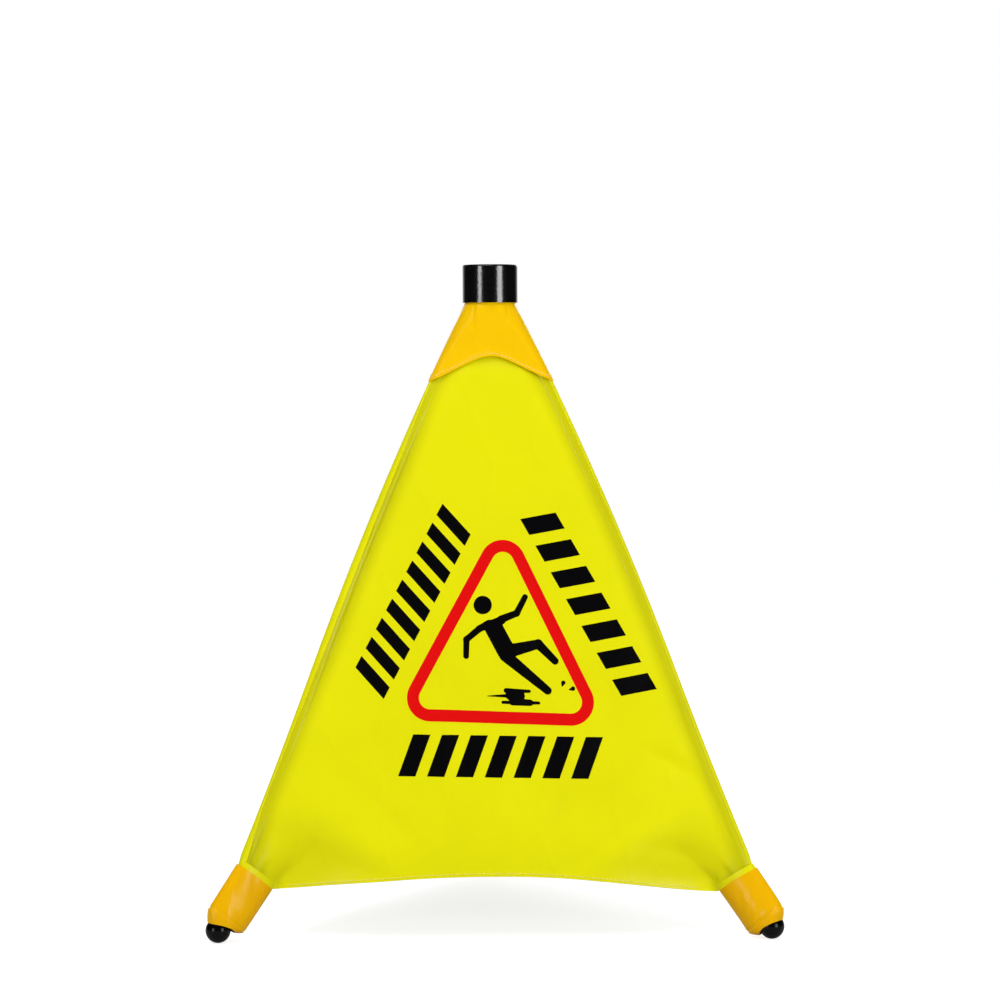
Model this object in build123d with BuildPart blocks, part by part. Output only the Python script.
from build123d import *
import os
from math import atan2, cos, degrees, radians, sin, tan

# Pop-up floor sign. Three poles hinge under a moulded cap, and torsion springs throw
# them open against a three-sided fabric cone. Millimetres, +Z up, origin on the floor
# under the cap's axis, the front side facing -Y.

# ---- driving dimensions ----
total_height = 508.0  # floor to the top of the cap
leg_turns = {"front_left": 210, "front_right": 330, "rear": 90}
side_turns = {"front": 0, "left": -120, "right": 120}  # each side is the front one turned
first_leg = 90

ball_diameter = 18.8
foot_reach = 239.1  # axis to the centre of a ball foot
waist_reach = 157.1  # where the pole's outward bow turns into its inward one
waist_height = 189.4
upper_bow = 5.0  # sagitta of the bow above the waist
hinge_reach = 9.2  # axis to a hinge pin
hinge_drop = 20.0  # top of the cap down to the pins

pole_diameter = 6.35
pole_wall = 0.85
plug_gap = 0.05  # radial, where a plug or pin runs in a bore
end_gap = 0.1  # between a pole's end and its shoulder
side_gap = 0.3  # between parts that pass each other
sleeve_wall = 0.7
fabric_thickness = 0.8
vinyl_thickness = 0.9

cap_diameter = 42.8
cap_height = 29.4
cap_wall = 1.5
cap_top_thickness = 2.6
cap_edge_radius = 1.4

hub_height = 15.0
hub_lift = 1.6  # hub's underside above the cap's rim
slot_width = 9.6
slot_reach = 4.9  # axis to the inner wall of a slot

pin_diameter = 2.5
pin_length = 15.0
pin_chamfer = 0.3
ear_radius = 4.0
ear_thickness = 2.2
heel_length = 6.8  # from the face that stops against the hub, outwards
heel_height = 6.5
neck_length = 9.5  # pin to the shoulder that the pole butts against
plug_length = 14.0
plug_draft = 0.7  # degrees, so that a straight plug enters the bowed pole

wire_diameter = 0.9
spring_coils = 2
spring_tail = 8.0
coil_gap = 0.05  # between one turn and the next

screw_diameter = 3.0
screw_head_diameter = 5.6
screw_head_height = 2.0
screw_length = 14.0
screw_tip_gap = 0.5
screw_tip_chamfer = 0.5
screw_head_round = 0.6
drive_width = 0.7  # of the cross recess
drive_length = 3.4
drive_depth = 1.1
boss_diameter = 8.0

socket_depth = 9.0
socket_diameter = 9.4
socket_length = 12.0  # ball's centre to the mouth of its socket
socket_chamfer = 0.6

boot_length = 46.0
boot_splay = 9.8  # degrees between the boot and the pole's end
boot_top_width = 36.0
boot_top_thickness = 16.4
boot_hem_height = 8.3
boot_hem_width = 34.6
boot_hem_thickness = 20.4
boot_mouth_width = 26.4
boot_mouth_thickness = 21.4
boot_mouth_offset = 1.2  # ball's centre stands this far outside the mouth's centre
boot_mouth_lift = 2.2  # and this far beyond its plane

panel_lap = 26.0  # the fabric's top above the collar's arch, tucked under it
hem_middle_height = 49.5
hem_side_height = 39.0
hem_side_reach = 165.0
boot_clearance = 1.2  # fabric's corner above the boot's top edge

neck_reach = 0.4  # makes the collar's neck all but round
collar_grip = 4.4  # how far the neck goes up inside the cap
collar_shoulder_drop = 16.6  # cap's rim down to where the collar meets the poles
collar_length = 61.1  # cap's rim down to the collar's corners
collar_arch_rise = 19.5  # middle of the arched lower edge above its corners

cut_extra = 1.0  # how far a cut runs past the face that it opens
edge_steps = 8  # spans in a curve drawn through points of the pole's line
halvings = 30  # in the search for a height along that line

# ---- sizes worked out from them ----
hinge_height = total_height - hinge_drop
foot_height = ball_diameter / 2
pole_radius = pole_diameter / 2
sleeve_inner = pole_radius + side_gap
sleeve_outer = sleeve_inner + sleeve_wall
fabric_inner = sleeve_outer + side_gap  # the poles' centrelines to the fabric's inner face
fabric_outer = fabric_inner + fabric_thickness
collar_inner = fabric_outer + side_gap
cap_radius = cap_diameter / 2
cap_inner = cap_radius - cap_wall
cap_rim_height = total_height - cap_height
cap_ceiling = total_height - cap_top_thickness
collar_neck_outer = cap_inner - side_gap
collar_neck_inner = collar_neck_outer - vinyl_thickness
collar_top_height = cap_rim_height + collar_grip
collar_shoulder_height = cap_rim_height - collar_shoulder_drop
collar_corner_height = cap_rim_height - collar_length
collar_arch_height = collar_corner_height + collar_arch_rise
panel_top_height = collar_arch_height + panel_lap
hub_radius = collar_neck_inner - neck_reach / 2 - side_gap
hub_bottom = cap_rim_height + hub_lift
hub_top = hub_bottom + hub_height
fork_half = slot_width / 2 - side_gap  # outer face of a fork's ear
spring_half = fork_half - ear_thickness
coil_radius = pin_diameter / 2 + wire_diameter / 2 + side_gap
side_cos = cos(radians(60))  # a side's distance from the axis, for a pole at distance 1
side_sin = sin(radians(60))

# ---- the line of one pole, in the XZ plane, radial direction +X ----
hinge_point = (hinge_reach, hinge_height)
waist_point = (waist_reach, waist_height)
foot_point = (foot_reach, foot_height)
with BuildLine(Plane.XZ) as pole_line:
    upper_arc = SagittaArc(hinge_point, waist_point, upper_bow)
with BuildLine(Plane.XZ) as lower_line:
    waist_tangent = upper_arc % 1
    TangentArc(waist_point, foot_point, tangent=(waist_tangent.X, waist_tangent.Z))
pole_path = Wire([upper_arc.edge(), lower_line.edge()])
top_direction = pole_path % 0
end_direction = pole_path % 1
top_slope = degrees(atan2(top_direction.X, -top_direction.Z))  # from the vertical
end_slope = degrees(atan2(end_direction.X, -end_direction.Z))
print("pole path", round(pole_path.length, 1), "slopes", round(top_slope, 2), round(end_slope, 2))


def part_way(distance):
    """The fraction of the pole's line at a distance along it from the hinge."""
    return distance / pole_path.length


def part_way_at(height):
    """The fraction of the pole's line at a height above the floor."""
    low, high = 0.0, 1.0
    for _ in range(halvings):
        middle = (low + high) / 2
        if (pole_path @ middle).Z > height:
            low = middle
        else:
            high = middle
    return low


def reach_at(height):
    """The distance of the pole's centreline from the axis, at a height above the floor."""
    return (pole_path @ part_way_at(height)).X


# ---- the leg that points along +X: pole, knuckle, foot, sleeve and boot ----
pole_span = pole_path.trim(
    part_way(neck_length + end_gap), 1 - part_way(socket_length - socket_depth + end_gap)
)
with BuildPart() as pole:
    with BuildSketch(Plane(pole_span @ 0, x_dir=(0, 1, 0), z_dir=pole_span % 0)):
        Circle(pole_radius)
        Circle(pole_radius - pole_wall, mode=Mode.SUBTRACT)
    sweep(path=pole_span)

sleeve_span = pole_path.trim(
    part_way(neck_length + plug_length), 1 - part_way(socket_length + side_gap)
)
with BuildPart() as pole_sleeve:
    with BuildSketch(Plane(sleeve_span @ 0, x_dir=(0, 1, 0), z_dir=sleeve_span % 0)):
        Circle(sleeve_outer)
        Circle(sleeve_inner, mode=Mode.SUBTRACT)
    sweep(path=sleeve_span)

hinge_frame = Plane((hinge_reach, 0, hinge_height), x_dir=(0, 1, 0), z_dir=top_direction)
fork_depth = neck_length - pole_diameter / 2
with BuildPart() as knuckle:
    with BuildSketch(Plane.XZ):
        with Locations(hinge_point):
            Circle(ear_radius)
        with Locations((slot_reach + side_gap, hinge_height)):
            Rectangle(
                heel_length,
                heel_height,
                align=(Align.MIN, Align.MIN),
            )
        with Locations(Location((hinge_reach, hinge_height, 0), (0, 0, top_slope))):
            Rectangle(pole_diameter, fork_depth, align=(Align.CENTER, Align.MAX))
    extrude(amount=fork_half, both=True)
    with BuildSketch(hinge_frame.offset(fork_depth)):
        Rectangle(2 * fork_half, pole_diameter)
    with BuildSketch(hinge_frame.offset(neck_length)):
        Circle(pole_radius)
    loft()
    with BuildSketch(hinge_frame.offset(neck_length)):
        Circle(pole_radius - pole_wall - plug_gap)
    extrude(amount=plug_length, taper=plug_draft)
    with BuildSketch(Plane.XZ):  # room for the spring between the ears, open above
        with Locations(hinge_point):
            Circle(coil_radius + wire_diameter / 2 + side_gap)
        with Locations((slot_reach, hinge_height)):
            Rectangle(
                2 * ear_radius + cut_extra,
                heel_height + cut_extra,
                align=(Align.MIN, Align.MIN),
            )
    extrude(amount=spring_half, both=True, mode=Mode.SUBTRACT)
    with BuildSketch(hinge_frame):  # groove for the spring's lower tail
        with Locations((0, -coil_radius - pole_radius)):
            Rectangle(2 * spring_half, 2 * (pole_radius + wire_diameter / 2 + plug_gap))
    extrude(amount=spring_tail + wire_diameter, mode=Mode.SUBTRACT)
    with BuildSketch(Plane.XZ):
        with Locations(hinge_point):
            Circle(pin_diameter / 2 + plug_gap)
    extrude(amount=fork_half, both=True, mode=Mode.SUBTRACT)

foot_centre = pole_path @ 1
foot_frame = Plane(foot_centre, x_dir=(0, 1, 0), z_dir=-end_direction)
with BuildPart() as ball_foot:
    with Locations(foot_centre):
        Sphere(ball_diameter / 2)
    with BuildSketch(foot_frame):
        Circle(socket_diameter / 2)
    extrude(amount=socket_length)
    chamfer(ball_foot.edges().filter_by(GeomType.CIRCLE).sort_by(Axis.Z)[-1], socket_chamfer)
    with BuildSketch(foot_frame.offset(socket_length - socket_depth)):
        Circle(pole_radius + plug_gap)
    extrude(amount=socket_depth, mode=Mode.SUBTRACT)

boot_slope = radians(end_slope + boot_splay)
boot_across = Vector(cos(boot_slope), 0, sin(boot_slope))  # outwards along the oval's width
boot_up = Vector(-sin(boot_slope), 0, cos(boot_slope))
mouth_centre = foot_centre - boot_across * boot_mouth_offset + boot_up * boot_mouth_lift
boot_frame = Plane(mouth_centre, x_dir=boot_across, z_dir=boot_up)
boot_sections = [
    (0, boot_mouth_width, boot_mouth_thickness),
    (boot_hem_height, boot_hem_width, boot_hem_thickness),
    (boot_length, boot_top_width, boot_top_thickness),
]
with BuildPart() as boot:
    for wall, mode in ((0, Mode.ADD), (vinyl_thickness, Mode.SUBTRACT)):
        for height, width, thickness in boot_sections:
            with BuildSketch(boot_frame.offset(height)):
                Ellipse(width / 2 - wall, thickness / 2 - wall)
        loft(ruled=True, mode=mode)

# ---- the hub, the pins, the springs, the cap and its screw ----
with BuildPart() as pin:
    with BuildSketch(Plane.XZ):
        with Locations(hinge_point):
            Circle(pin_diameter / 2)
    extrude(amount=pin_length / 2, both=True)
    chamfer(pin.edges().filter_by(GeomType.CIRCLE), pin_chamfer)

coil_pitch = wire_diameter + coil_gap
coil_turns = spring_coils + top_slope / 360
coil_span = coil_turns * coil_pitch
coil_frame = Plane(
    (hinge_reach, coil_span / 2, hinge_height), x_dir=(-1, 0, 0), z_dir=(0, -1, 0)
)
coil = Edge.make_helix(coil_pitch, coil_span, coil_radius).moved(coil_frame.location)
with BuildPart() as spring:
    with BuildSketch(Plane(coil @ 0, z_dir=coil % 0)):
        Circle(wire_diameter / 2)
    sweep(path=Wire([coil]))
    for end, direction in ((coil @ 0, (coil % 0) * -1), (coil @ 1, coil % 1)):
        with BuildSketch(Plane(end, z_dir=direction)):
            Circle(wire_diameter / 2)
        extrude(amount=spring_tail)

with BuildPart() as pin_groove:
    with BuildSketch(Plane.XZ):
        with Locations(hinge_point):
            Circle(pin_diameter / 2 + plug_gap)
            Rectangle(
                pin_diameter + 2 * plug_gap,
                hub_top - hinge_height + cut_extra,
                align=(Align.CENTER, Align.MIN),
            )
    extrude(amount=pin_length / 2 + plug_gap, both=True)

with BuildPart() as hub:
    with BuildSketch(Plane.XY.offset(hub_bottom)):
        Circle(hub_radius)
        with PolarLocations(slot_reach, 3, start_angle=first_leg):
            Rectangle(
                hub_radius, slot_width, align=(Align.MIN, Align.CENTER), mode=Mode.SUBTRACT
            )
    extrude(amount=hub_height)
    with PolarLocations(0, 3, start_angle=first_leg):
        add(pin_groove.part, mode=Mode.SUBTRACT)
    with Locations(Plane((0, 0, hub_bottom), z_dir=(0, 0, -1))):
        CounterBoreHole(
            screw_diameter / 2 + plug_gap,
            screw_head_diameter / 2 + side_gap,
            screw_head_height + side_gap,
        )

with BuildPart() as screw:
    head_seat = hub_bottom + screw_head_height + side_gap
    with BuildSketch(Plane.XY.offset(head_seat)):
        Circle(screw_head_diameter / 2)
    extrude(amount=-screw_head_height)
    fillet(screw.edges().sort_by(Axis.Z)[0], screw_head_round)
    with BuildSketch(Plane.XY.offset(head_seat)):
        Circle(screw_diameter / 2)
    extrude(amount=screw_length)
    chamfer(screw.edges().sort_by(Axis.Z)[-1], screw_tip_chamfer)
    with BuildSketch(Plane.XY.offset(head_seat - screw_head_height)):
        Rectangle(drive_length, drive_width)
        Rectangle(drive_width, drive_length)
    extrude(amount=drive_depth, mode=Mode.SUBTRACT)

post_width = pin_diameter - 2 * plug_gap
post_offset = (slot_width + pin_length) / 4  # middle of the pin's seat in a web
post_bottom = hinge_height + pin_diameter / 2 + plug_gap
with BuildPart() as cap:
    with BuildSketch(Plane.XY.offset(cap_rim_height)):
        Circle(cap_radius)
    extrude(amount=cap_height)
    fillet(cap.edges().sort_by(Axis.Z)[-1], cap_edge_radius)
    with BuildSketch(Plane.XY.offset(cap_rim_height)):
        Circle(cap_inner)
    extrude(amount=cap_ceiling - cap_rim_height, mode=Mode.SUBTRACT)
    with BuildSketch(Plane.XY.offset(hub_top)):
        Circle(boss_diameter / 2)
    extrude(amount=cap_ceiling - hub_top)
    with BuildSketch(Plane.XY.offset(post_bottom)):
        with PolarLocations(0, 3, start_angle=first_leg):
            with Locations((hinge_reach, post_offset), (hinge_reach, -post_offset)):
                Rectangle(post_width, post_width)
    extrude(amount=cap_ceiling - post_bottom)
    with BuildSketch(Plane.XY.offset(hub_top)):
        Circle(screw_diameter / 2 + plug_gap)
    extrude(amount=head_seat + screw_length + screw_tip_gap - hub_top, mode=Mode.SUBTRACT)

# ---- the vinyl collar under the cap ----
shoulder_reach = reach_at(collar_shoulder_height)
corner_reach = reach_at(collar_corner_height)
collar_sections = [
    (collar_top_height, neck_reach, collar_neck_inner - neck_reach),
    (cap_rim_height, neck_reach, collar_neck_inner - neck_reach),
    (collar_shoulder_height, shoulder_reach, collar_inner),
    ((collar_shoulder_height + collar_corner_height) / 2, None, collar_inner),
    (collar_corner_height, corner_reach, collar_inner),
]
with BuildPart() as arch:  # what the arched lower edge leaves out on the front side
    arch_reach = corner_reach * side_sin + collar_inner + vinyl_thickness
    with BuildSketch(Plane.XZ):
        with BuildLine():
            ThreePointArc(
                (-arch_reach, collar_corner_height),
                (0, collar_arch_height),
                (arch_reach, collar_corner_height),
            )
            Polyline(
                (arch_reach, collar_corner_height),
                (arch_reach, collar_corner_height - vinyl_thickness),
                (-arch_reach, collar_corner_height - vinyl_thickness),
                (-arch_reach, collar_corner_height),
            )
        make_face()
    extrude(amount=foot_reach)
    with BuildSketch(Plane.XY.offset(collar_corner_height - vinyl_thickness)):
        with BuildLine():
            Polyline(
                (0, 0),
                (-foot_reach * side_sin, -foot_reach * side_cos),
                (foot_reach * side_sin, -foot_reach * side_cos),
                close=True,
            )
        make_face()
    extrude(amount=total_height - collar_corner_height, mode=Mode.INTERSECT)

with BuildPart() as collar:
    for wall, mode in ((vinyl_thickness, Mode.ADD), (0, Mode.SUBTRACT)):
        for height, reach, corner in collar_sections:
            with BuildSketch(Plane.XY.offset(height)):
                with PolarLocations(reach or reach_at(height), 3, start_angle=first_leg):
                    Circle(corner + wall)
                make_hull()
        loft(ruled=True, mode=mode)
    with PolarLocations(0, 3):
        add(arch.part, mode=Mode.SUBTRACT)


# ---- the front side of the fabric ----
def side_line(offset, top, bottom):
    """Points of the front side's section in the YZ plane, at an offset outside the poles."""
    points = []
    for step in range(edge_steps + 1):
        share = top + (bottom - top) * step / edge_steps
        place, run = pole_path @ share, pole_path % share
        outward = Vector(run.Z, run.X * side_cos, 0).normalized() * offset
        points.append((outward.X - place.X * side_cos, place.Z + outward.Y))
    return points


panel_top = part_way_at(panel_top_height)
panel_bottom = part_way_at(foot_height * 2)
hem_drop = hem_middle_height - hem_side_height
hem_radius = (hem_side_reach**2 + hem_drop**2) / (2 * hem_drop)
top_centre = mouth_centre + boot_up * boot_length
corner_height = top_centre.Z + boot_across.Z * boot_top_width / 2


def boot_edge_height(across):
    """Height, in the front view, of the fabric's lower corner edge at a distance across."""
    forward = (reach_at(corner_height) * side_cos + fabric_outer) * side_cos
    along = across * side_sin + forward - top_centre.X
    return top_centre.Z + boot_clearance / cos(boot_slope) + along * tan(boot_slope)


with BuildPart() as panel:
    with BuildSketch(Plane.YZ):
        with BuildLine():
            inner = Spline(*side_line(fabric_inner, panel_top / 2, panel_bottom))
            outer = Spline(*side_line(fabric_outer, panel_top / 2, panel_bottom))
            Line(inner @ 0, outer @ 0)
            Line(inner @ 1, outer @ 1)
        make_face()
    extrude(amount=foot_reach, both=True)
    with BuildSketch(Plane.XZ) as outline:
        edge_points = [
            pole_path @ (panel_top + (panel_bottom - panel_top) * step / edge_steps)
            for step in range(edge_steps + 1)
        ]
        with BuildLine():
            right = Spline(*[(p.X * side_sin, p.Z) for p in edge_points])
            left = Spline(*[(-p.X * side_sin, p.Z) for p in edge_points])
            Line(left @ 0, right @ 0)
            Line(left @ 1, right @ 1)
        make_face()
        with Locations((0, hem_middle_height - hem_radius)):
            Circle(hem_radius, mode=Mode.SUBTRACT)
        for sign in (-1, 1):
            with BuildLine():
                Polyline(
                    (0, boot_edge_height(0)),
                    (sign * foot_reach, boot_edge_height(foot_reach)),
                    (sign * foot_reach, boot_edge_height(0)),
                    close=True,
                )
            make_face(mode=Mode.SUBTRACT)
    extrude(amount=foot_reach, mode=Mode.INTERSECT)


# ---- every piece in its place, written out ----
os.makedirs("parts", exist_ok=True)


def write(piece, label, turn=0):
    """Turn a piece about the axis to its place, label it and write its STEP file."""
    with BuildPart() as placed:
        with Locations(Location((0, 0, 0), (0, 0, turn))):
            add(piece.part)
    placed.part.label = label
    export_step(placed.part, f"parts/{label}.step")


write(cap, "top_cap")
write(hub, "leg_hub")
write(screw, "cap_screw")
write(collar, "top_collar")
for side, turn in side_turns.items():
    write(panel, f"panel_{side}", turn)
for leg, turn in leg_turns.items():
    write(pin, f"hinge_pin_{leg}", turn)
    write(spring, f"torsion_spring_{leg}", turn)
    write(knuckle, f"knuckle_{leg}", turn)
    write(pole, f"pole_{leg}", turn)
    write(pole_sleeve, f"pole_sleeve_{leg}", turn)
    write(ball_foot, f"ball_foot_{leg}", turn)
    write(boot, f"boot_{leg}", turn)
